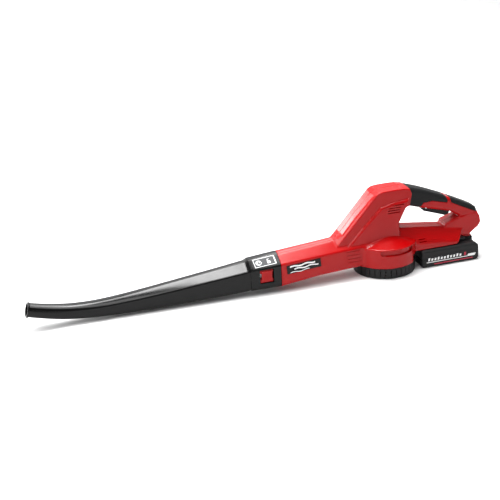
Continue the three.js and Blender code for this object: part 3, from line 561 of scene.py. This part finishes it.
roofed = roof_section()
line_x = np.linspace(-278, -672.8, 100)
known = np.array(NOZZLE_LINE)[::-1]
wide_x = np.linspace(-736, -218, 519)
ease = np.exp(-0.5 * (np.arange(-EASE_REACH, EASE_REACH + 1) / EASE_WIDTH) ** 2)
ease /= ease.sum()


def eased(column):
    """A station value along the tube, smoothed so that the tube bends without corners."""
    raw = np.interp(wide_x, known[:, 0], known[:, column])
    low = wide_x < known[0, 0]
    high = wide_x > known[-1, 0]
    raw[low] = known[0, column] + (wide_x[low] - known[0, 0]) * (known[1, column] - known[0, column]) / 26
    raw[high] = known[-1, column] + (wide_x[high] - known[-1, 0]) * (known[-1, column] - known[-2, column]) / 52
    return np.interp(line_x, wide_x[EASE_REACH:-EASE_REACH], np.convolve(raw, ease, "valid"))


line_z, line_r = eased(1), eased(2)
lean = np.gradient(line_z, line_x)
lean *= np.clip((-278 - line_x) / 40, 0, 1)


def ring(x, z, half, slope, blend):
    """Points of one cross-section, square to the tube's line."""
    angles = np.arange(AROUND) * 2 * math.pi / AROUND
    near, far = np.exp(-((angles - 0.42) / 0.1) ** 2), np.exp(-((angles - math.pi + 0.42) / 0.1) ** 2)
    crease = 0.05 * math.sin(math.pi * min(blend, 1)) * (near + far)
    r = half * (roofed * (1 - blend) + blend + crease)
    side, rise = r * np.cos(angles), r * np.sin(angles)
    length = math.hypot(1, slope)
    return np.stack([x - rise * slope / length, side, z + rise / length], 1)


def round_share(x):
    t = min(max((-x - 300) / 370, 0), 1)
    return 0.93 * t * t * (3 - 2 * t)


def collar_ring(x, inset):
    t = (x + COLLAR_BACK) / COLLAR_RUN
    return ring(x, 36.05 - 1.95 * t, 31 - 2.4 * t - inset, 0, 0)


outer = [collar_ring(x, inset)
         for x, inset in ((-215.3, 0.5), (-215.8, 0), (-271.4, 0), (-272.6, 0.5), (-273.2, 1.4))]
outer.append(ring(-274.2, 33.6, 27.05, 0, 0))
for x, z, r, s in zip(line_x, line_z, line_r, lean):
    outer.append(ring(x, z, r, s, round_share(x)))
mouth = (line_x[-1], line_z[-1], line_r[-1], lean[-1])
for step, grow in ((-3.2, 0), (-2.9, 0.9), (-1.6, 1.4), (-0.4, 1.4), (0.6, 0.8), (0.9, 0), (0.9, -1.2), (0.2, -2.0)):
    along = (step + 2.3) * 0.96
    outer.append(ring(mouth[0] - along, mouth[1] - along * mouth[3], mouth[2] + grow, mouth[3], 1))
inner = []
for x, z, r, s in list(zip(line_x, line_z, line_r, lean))[::-1]:
    inner.append(ring(x, z, r - TUBE_WALL, s, round_share(x)))
inner.append(ring(-266, 34.2, 24.6, 0, 0))
inner += [collar_ring(x, 3) for x in (-265.6, -215.3)]
rows = np.array(outer + inner)
count = len(rows)
tube = placed("nozzle_tube", mesh_of("nozzle_tube", (rows.reshape(-1, 3) / 1000).tolist(), [
    (i * AROUND + j, i * AROUND + (j + 1) % AROUND,
     (i + 1) % count * AROUND + (j + 1) % AROUND, (i + 1) % count * AROUND + j)
    for i in range(count) for j in range(AROUND)]))
carve(tube, groove("window", [((-256.2, -40, 23.3), (-229.8, -20, 49.7))]))


def crisp(piece, angle=30):
    """Smooth shading that stays sharp over edges steeper than the angle."""
    piece.data.shade_smooth()
    piece.data.set_sharp_from_angle(angle=math.radians(angle))


crisp(tube, 28)
tube.data.materials.clear()
tube.data.materials.append(gloss)
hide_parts("nozzle")
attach(tube, "nozzle")

# ---------------------------------------------------------------------------------------------------------------
# Label and name plates: thin printed plates in shallow seats. The collar's plate has a white frame, a round dial and
# a padlock. The plates on the air tube's sides carry plain air-flow lines.
ink = finish("white print", (0.82, 0.82, 0.82), 0.45, grain=1200, depth=0.2, drift=0.05, wear=0.08,
             worn=(0.5, 0.5, 0.5))


def print_on(name, origin, u, v, shapes, material, lift, thick=0.12):
    """Thin raised print: outlines in millimetres along u and v on a plate's face, each a closed slab."""
    u, v = Vector(u).normalized(), Vector(v).normalized()
    out = u.cross(v).normalized()
    points, faces = [], []
    for shape in shapes:
        n, k = len(points), len(shape)
        for level in (lift, lift + thick):
            points += [(Vector(origin) + u * a + v * b + out * level) / 1000 for a, b in shape]
        faces += [list(range(n, n + k))[::-1], list(range(n + k, n + 2 * k))]
        faces += [[n + i, n + (i + 1) % k, n + k + (i + 1) % k, n + k + i] for i in range(k)]
    made = mesh_of(name, [tuple(p) for p in points], faces)
    made.materials.append(material)
    return placed(name, made)


def strip(line, width):
    """A stroke of one width along a line of points."""
    left_side, right_side = [], []
    for i, (a, b) in enumerate(line):
        p, q = line[max(i - 1, 0)], line[min(i + 1, len(line) - 1)]
        run = math.hypot(q[0] - p[0], q[1] - p[1])
        across_x, across_y = -(q[1] - p[1]) / run * width / 2, (q[0] - p[0]) / run * width / 2
        left_side.append((a + across_x, b + across_y))
        right_side.append((a - across_x, b - across_y))
    return right_side + left_side[::-1]


def arc(cx, cy, r, start, stop, steps=16):
    return [(cx + r * math.cos(math.radians(start + (stop - start) * i / steps)),
             cy + r * math.sin(math.radians(start + (stop - start) * i / steps))) for i in range(steps + 1)]


def bar(x0, y0, x1, y1, lean_by=0.0):
    return [(x0, y0), (x1, y0), (x1 + lean_by, y1), (x0 + lean_by, y1)]


frame_lines = [bar(-20.4, -9.4, 20.4, -8.5), bar(-20.4, 8.5, 20.4, 9.4), bar(-20.4, -8.4, -19.5, 8.4),
               bar(18.6, -8.4, 20.4, 8.4)]
dial = [strip(arc(-11.5, 0, 5, 20, 340), 1.0), strip(arc(-11.5, 0, 2.6, 0, 300, 10), 0.9), bar(-7.6, -1.6, -5.2, 0.2)]
padlock = [bar(4.6, -5.2, 10.4, 0.2), strip([(5.6, 0.3), (5.6, 2.6)] + arc(7.5, 2.6, 1.9, 180, 30, 8), 0.9)]
label_print = print_on("label_print", (-243, -18.47, 60.6), (0.9972, 0, 0.0749), (-0.0393, 0.8517, 0.5226),
                       frame_lines + dial + padlock, ink, 0.72)
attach(label_print, "nozzle")

flow = []
for row, (start, stop, size) in enumerate(((-27, 22, 2.6), (-19, 28, 2.2), (-27, 10, 1.2))):
    wave = [(start + (stop - start) * i / 24, 4.8 - 5.6 * row + math.sin(2 * math.pi * i / 24 * (stop - start) / 26))
            for i in range(25)]
    flow.append(strip(wave, size))
for name, side in (("nameplate_print_left", -1), ("nameplate_print_right", 1)):
    u = (-side * math.cos(0.075), 0, -side * math.sin(0.075))
    plate_print = print_on(name, (-172, side * 31.85, 44.6), u, (-math.sin(0.075), 0, math.cos(0.075)), flow, ink, 0.48)
    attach(plate_print, "housing")

# ---------------------------------------------------------------------------------------------------------------
# Lock button: a small square red moulding in the collar's window, its face marked with slanting finger grooves. It
# stands on a wider foot that rests behind the window, and a leaf spring behind pushes it out.
def button_field(x, y, z):
    body = box_field(x, y, z, (-253, -31, 26.5), (-233, -26, 46.5), 1.2)
    foot = box_field(x, y, z, (-255, -28.2, 24.5), (-231, -24.7, 48.5), 0.5)
    dish = 0.45 * (np.cos((x + z) * 1.3) > 0.2) * (np.hypot(x + 243, z - 36.5) < 7.5)
    leaf_groove = box_field(x, y, z, (-262, -28.4, 31), (-225, -20, 42))
    return np.maximum(np.minimum(body + dish * (y < -28), foot), -leaf_groove)


button = skin("lock_button_cap", button_field, (-256, -32, 23), (-230, -23, 50), 0.8)
field_normals(button, button_field)
button.data.materials.append(red)
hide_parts("lock_button")
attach(button, "lock_button")

# ---------------------------------------------------------------------------------------------------------------
# Air intake base: the round foot the blower stands on. Moulded matte black rings joined by upright slats, with two
# rings of spokes under the fan that keep fingers out. Held by four screws from below.
matte = finish("matte black nylon", (0.009, 0.009, 0.0095), 0.5, grain=1100, depth=0.6, drift=0.15, wear=0.08,
               worn=(0.022, 0.022, 0.024), specular=0.22, bump=0.00012)


def turned(name, profiles, steps=144):
    """Closed rings turned about the fan's axis from profiles of radius and height in millimetres."""
    points, faces = [], []
    for profile in profiles:
        n, k = len(points), len(profile)
        for i in range(steps):
            a = 2 * math.pi * i / steps
            points += [(r * math.cos(a) / 1000, r * math.sin(a) / 1000, z / 1000) for r, z in profile]
        faces += [(n + i * k + j, n + (i + 1) % steps * k + j,
                   n + (i + 1) % steps * k + (j + 1) % k, n + i * k + (j + 1) % k)
                  for i in range(steps) for j in range(k)]
    return placed(name, mesh_of(name, points, faces))


rings = turned("intake_rings", [
    [(46, 0.2), (56.8, 0.2), (58.1, 0.8), (58.5, 2.2), (58.5, 4.7), (55.4, 4.7), (54.9, 4.2), (54.9, 3.2), (46, 3.2)],
    [(54.9, 17.7), (58.5, 17.7), (58.5, 20.2), (57.9, 20.8), (54.9, 20.8)],
    [(29, 0.2), (32, 0.2), (32, 3.2), (29, 3.2)],
    [(1.5, 0.2), (14.5, 0.2), (16, 1), (16, 3.2), (1.5, 3.2)]])
crisp(rings, 50)
rings.data.materials.append(matte)


def wired(tree, kind, *sources, how=None, out=0, **named):
    """One output of a new node, its inputs given by order or by name as numbers or other nodes' outputs."""
    node = tree.nodes.new(kind)
    if how:
        node.operation = how
    for key, source in [*enumerate(sources), *named.items()]:
        if isinstance(source, (int, float)):
            node.inputs[key].default_value = source
        else:
            tree.links.new(source, node.inputs[key])
    return node.outputs[out]


def copies_tree(name, inputs, lay_out):
    """A tree of copies laid out on points, made real and painted. Its named inputs are these and the material."""
    tree = bpy.data.node_groups.new(name, "GeometryNodeTree")
    for label, kind in (*inputs, ("Material", "NodeSocketMaterial")):
        tree.interface.new_socket(name=label, in_out="INPUT", socket_type=kind)
    tree.interface.new_socket(name="Geometry", in_out="OUTPUT", socket_type="NodeSocketGeometry")
    given = tree.nodes.new("NodeGroupInput").outputs
    real = wired(tree, "GeometryNodeRealizeInstances", lay_out(tree, given))
    paint = wired(tree, "GeometryNodeSetMaterial", Geometry=real, Material=given["Material"])
    tree.links.new(paint, tree.nodes.new("NodeGroupOutput").inputs[0])
    return tree


def round_circle(tree, given):
    """Boxes of one size set evenly round a circle, each turned to face outward."""
    step = wired(tree, "ShaderNodeMath", 2 * math.pi, given["Count"], how="DIVIDE")
    turn = wired(tree, "ShaderNodeMath", wired(tree, "GeometryNodeInputIndex"), step, how="MULTIPLY")
    angle = wired(tree, "ShaderNodeMath", turn, given["Start"], how="ADD")
    cosine, sine = (wired(tree, "ShaderNodeMath", angle, how=how) for how in ("COSINE", "SINE"))
    spoke = wired(tree, "ShaderNodeCombineXYZ", cosine, sine)
    reach = wired(tree, "ShaderNodeVectorMath", spoke, Scale=given["Radius"], how="SCALE")
    lift = wired(tree, "ShaderNodeCombineXYZ", Z=given["Height"])
    spot = wired(tree, "ShaderNodeVectorMath", reach, lift, how="ADD")
    line = wired(tree, "GeometryNodeMeshLine", Count=given["Count"])
    points = wired(tree, "GeometryNodeSetPosition", Geometry=line, Position=spot)
    cube = wired(tree, "GeometryNodeMeshCube", Size=given["Size"])
    facing = wired(tree, "ShaderNodeCombineXYZ", Z=angle)
    return wired(tree, "GeometryNodeInstanceOnPoints", Points=points, Instance=cube, Rotation=facing)


RING_TREE = copies_tree("boxes round a circle", (
    ("Count", "NodeSocketInt"), ("Radius", "NodeSocketFloat"), ("Size", "NodeSocketVector"),
    ("Height", "NodeSocketFloat"), ("Start", "NodeSocketFloat")), round_circle)


def grown(name, tree, **values):
    """A plain mesh from a Geometry Nodes tree run once with these named inputs."""
    piece = placed(name, bpy.data.meshes.new(name))
    grow = piece.modifiers.new("grow", "NODES")
    grow.node_group = tree
    for socket in tree.interface.items_tree:
        if socket.in_out == "INPUT":
            grow[socket.identifier] = values[socket.name.replace(" ", "_")]
    bake(piece)
    return piece


slats = grown("intake_slats", RING_TREE, Count=36, Radius=0.0567, Size=(0.0035, 0.0088, 0.0134), Height=0.0112,
              Start=math.radians(5), Material=matte)
spokes_in = grown("intake_spokes_inner", RING_TREE, Count=16, Radius=0.0225, Size=(0.0135, 0.003, 0.0026),
                  Height=0.0018, Start=0.0, Material=matte)
spokes_out = grown("intake_spokes_outer", RING_TREE, Count=32, Radius=0.039, Size=(0.0145, 0.003, 0.0026),
                   Height=0.0018, Start=0.0, Material=matte)
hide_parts("intake_base")
for piece in (rings, slats, spokes_in, spokes_out):
    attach(piece, "housing")

# ---------------------------------------------------------------------------------------------------------------
# Battery pack: a matte black tray and cover welded along a seam, with rails and contact slots on top that slide
# under the bridge. A printed band and a red strip run along each side.
PACK_SIDE = [(61, 6), (65, 0.3), (176, 0.3), (181, 5), (181, 29), (173, 35), (65, 35), (61, 31)]


def pack_field(x, y, z):
    side = np.abs(y)
    plan = meet(meet(side - 38, np.maximum(61 - x, x - 181), 5), outline(x, z, PACK_SIDE), 2.2)
    plan = meet(plan, (side - 38 + (z - 35) + 3.2) * 0.7071, 1.5)
    plan = meet(plan, (side - 38 - z + 2.2) * 0.7071, 1.5)
    head = box_field(x, y, z, (62, -23.5, 39.5), (158, 23.5, 44.7), 0.8)
    neck = box_field(x, y, z, (62, -19, 30), (158, 19, 41), 0.3)
    rear = box_field(x, y, z, (152, -15.2, 30), (177.5, 15.2, 40.2), 1.2)
    body = np.minimum(np.minimum(join(plan, neck, 0.8), head), join(plan, rear, 1.2))
    cuts = [
        np.maximum(np.abs(side - 38) - 0.7, np.maximum(np.abs(z - 23.5) - 0.9, np.maximum(74 - x, x - 166))),
        box_field(x, y, z, (63.5, -35.6, 2.6), (178.5, 35.6, 32.6), 1.5),
        np.maximum(np.abs(side - 9) - 1.2, np.maximum(x - 81, 36.8 - z)),
        box_field(x, y, z, (150.6, -6.6, 41.2), (159, 6.6, 50)),
        np.maximum(np.hypot(y + 18, z - 21) - 4.5, 176 - x),
        box_field(x, y, z, (158.6, -14.7, 37), (176.5, 14.7, 50)),
        np.maximum(np.hypot(x - 167, y) - 3.7, 33 - z)]
    return np.maximum(body, -functools.reduce(np.minimum, cuts))


def tray_field(x, y, z):
    return meet(pack_field(x, y, z), z - 16.8, 0.6)


def cover_field(x, y, z):
    return meet(pack_field(x, y, z), 17.2 - z, 0.6)


for name, shape, low, high, node in (
        ("pack_tray", tray_field, (60, -39, 0), (182, 39, 17.5), "battery_tray"),
        ("pack_cover", cover_field, (60, -39, 16.5), (182, 39, 46), "battery_cover")):
    piece = skin(name, shape, low, high, 1.2)
    field_normals(piece, shape)
    piece.data.materials.append(matte)
    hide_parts(node)
    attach(piece, "battery")

strip_red = finish("red print", (0.42, 0.004, 0.03), 0.4, grain=1200, depth=0.2, drift=0.06, wear=0.08)
white_marks = [bar(-50, -7.6, 34, -6.2), bar(34, -7.6, 50, -2.6, 2.5)]
white_marks += [bar(-47 + 6.5 * i, -4.2, -43.4 + 6.5 * i, 0.4 if i % 3 else 1.6, 0.8) for i in range(11)]
red_marks = [bar(-34, -12.6, 46, -10.6), bar(27.5, -4.6, 31.5, 1.8, 0.8)]
for side in (-1, 1):
    for name, shapes, colour in (("pack_print_white", white_marks, ink), ("pack_print_red", red_marks, strip_red)):
        if side > 0:
            shapes = [[(-a, b) for a, b in shape][::-1] for shape in shapes]
        marks = print_on(f"{name}_{'left' if side < 0 else 'right'}", (121, side * 38, 17.4), (-side, 0, 0), (0, 0, 1),
                         shapes, colour, -0.06, 0.1)
        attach(marks, "battery")

# ---------------------------------------------------------------------------------------------------------------
# Trigger: a black lever that hangs under the handle from a pin, its front face rounded for two fingers.
TRIGGER = [(75, 108), (78, 104.5), (98, 97.5), (122, 89), (129.5, 91), (131, 97), (127, 105), (82, 117.5), (75, 115)]


def trigger_field(x, y, z):
    lever = across(outline(x, z, TRIGGER), y, 10.6, 2.6)
    pin_hole = np.hypot(x - 80, z - 112.5) - 1.7
    spring_well = np.maximum(np.hypot(x - 117, y) - 4.2, 104.5 - z)
    switch_bay = np.maximum(box_field(x, y, z, (84, -8, 104), (126, 8, 130)), -(outline(x, z, TRIGGER) + 2.2))
    return np.maximum(lever, -np.minimum(np.minimum(pin_hole, spring_well), switch_bay))


lever = skin("trigger_lever", trigger_field, (73, -12, 87), (133, 12, 119), 1.0)
field_normals(lever, trigger_field)
lever.data.materials.append(soft)
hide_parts("trigger")
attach(lever, "trigger")

# ---------------------------------------------------------------------------------------------------------------
# Battery release: a red wedge with a nose that catches the housing's edge, on a small spring at the pack's rear.
def release_field(x, y, z):
    wedge = across(outline(x, z, [(159, 40.4), (159, 46.8), (168, 46.8), (175.6, 42.6), (176, 40.4)]), y, 14.2, 0.8)
    nose = across(outline(x, z, [(151, 44.9), (151, 46.4), (152.5, 47.6), (161, 47.6), (161, 44.9)]), y, 6, 0.4)
    ribs = 0.35 * np.sin((x - 160) * 2 * math.pi / 3.2) * (z > 41.5) * (x > 163.5)
    spring_well = np.maximum(np.hypot(x - 167, y) - 3.2, z - 45.2)
    return np.maximum(np.minimum(wedge + np.maximum(ribs, 0), nose), -spring_well)


release = skin("release_wedge", release_field, (150, -15.5, 39.5), (177, 15.5, 48.5), 0.8)
field_normals(release, release_field)
release.data.materials.append(red)
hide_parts("release_button")
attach(release, "release_button")

# ---------------------------------------------------------------------------------------------------------------
# Screws: zinc-plated pan heads with a six-lobed socket. Seven close the shells from the right, four hold the base.
zinc = finish("zinc plate", (0.55, 0.56, 0.58), 0.3, grain=700, depth=0.4, drift=0.12, wear=0.3, worn=(0.35, 0.34, 0.3),
              metallic=1.0)


def screw_mesh(length):
    """A screw with its head's top at height 0 and its shank pointing down."""
    steps = 36
    lobe = [1 + 0.2 * math.cos(6 * 2 * math.pi * i / steps) for i in range(steps)]
    levels = [(0.05, -1.5, 1), (1.25, -1.5, lobe), (1.25, -0.05, lobe), (2.5, -0.1, 1), (3.0, -0.8, 1), (3.0, -2.0, 1),
              (1.35, -2.0, 1), (1.35, -length + 1, 1), (0.05, -length, 1)]
    points = []
    for r, z, shape in levels:
        for i in range(steps):
            a = 2 * math.pi * i / steps
            k = r * (shape[i] if isinstance(shape, list) else 1) / 1000
            points.append((k * math.cos(a), k * math.sin(a), z / 1000))
    faces = [(i * steps + j, (i + 1) * steps + j, (i + 1) * steps + (j + 1) % steps, i * steps + (j + 1) % steps)
             for i in range(len(levels) - 1) for j in range(steps)]
    faces += [list(range(steps)), list(range((len(levels) - 1) * steps, len(levels) * steps))[::-1]]
    return mesh_of("screw", points, faces)


def at_places(tree, given):
    """One object set at every vertex of another, all turned alike."""
    where, what = (wired(tree, "GeometryNodeObjectInfo", Object=given[label], out="Geometry")
                   for label in ("Places", "Thing"))
    return wired(tree, "GeometryNodeInstanceOnPoints", Points=where, Instance=what, Rotation=given["Turn"])


PLACES_TREE = copies_tree("objects at places", (
    ("Places", "NodeSocketObject"), ("Thing", "NodeSocketObject"), ("Turn", "NodeSocketVector")), at_places)
for name, spots, length, turn, stood_for in (
        ("housing_screws", [(x, 11.4, z) for x, z in HOUSING_SCREWS], 19.5, (-math.pi / 2, 0, 0), "housing_screw_{}"),
        ("base_screws", [(52.3 * math.cos(a), 52.3 * math.sin(a), 1.4) for a in np.radians((45, 135, 225, 315))], 29,
         (math.pi, 0, 0), "base_screw_{}")):
    thing = placed("one screw", screw_mesh(length))
    places = placed("places", mesh_of("places", [tuple(v / 1000 for v in p) for p in spots], []))
    screws = grown(name, PLACES_TREE, Places=places, Thing=thing, Turn=turn, Material=zinc)
    for extra in (thing, places):
        bpy.data.objects.remove(extra)
    crisp(screws, 35)
    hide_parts(*[stood_for.format(i + 1) for i in range(len(spots))])
    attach(screws, "housing")

# ---------------------------------------------------------------------------------------------------------------
# Works inside, carried over from the frame: fan, motor, bearings, magnets, brushes, switch, contacts, cells and
# springs. Each finish is its own metal, plastic or wrap.
FINISHES = {
    "black_matte": matte, "black_gloss": gloss, "red_shell": red, "soft_grip": soft, "zinc": zinc,
    "label": finish("label film", (0.045, 0.047, 0.05), 0.5, grain=900, depth=0.3, drift=0.1, wear=0.05, specular=0.2),
    "steel": finish("bright steel", (0.5, 0.5, 0.51), 0.28, grain=800, depth=0.4, drift=0.12, wear=0.2, metallic=1.0),
    "brass": finish("brass", (0.7, 0.47, 0.2), 0.3, grain=900, depth=0.3, drift=0.12, wear=0.3, worn=(0.4, 0.25, 0.1),
                    metallic=1.0),
    "copper": finish("enamelled copper", (0.65, 0.24, 0.1), 0.32, grain=2400, depth=1.0, drift=0.2, wear=0.2,
                     metallic=1.0, bump=0.0002),
    "magnet": finish("ferrite", (0.05, 0.05, 0.055), 0.6, grain=1200, depth=0.8, drift=0.2, wear=0.2),
    "carbon": finish("carbon", (0.03, 0.03, 0.03), 0.55, grain=1500, depth=0.8, drift=0.2, wear=0.3),
    "cell_wrap": finish("cell wrap", (0.03, 0.16, 0.32), 0.3, grain=500, depth=0.2, drift=0.1, wear=0.05, coat=0.3),
    "board": finish("circuit board", (0.012, 0.11, 0.04), 0.4, grain=700, depth=0.8, drift=0.3, wear=0.2,
                    worn=(0.3, 0.22, 0.08)),
    "pale": finish("pale plastic", (0.5, 0.5, 0.49), 0.45, grain=900, depth=0.4, drift=0.08, wear=0.1),
}
for name, part in nodes.items():
    for i, material in enumerate(part.data.materials):
        part.data.materials[i] = FINISHES[material.name.split(".")[0]]
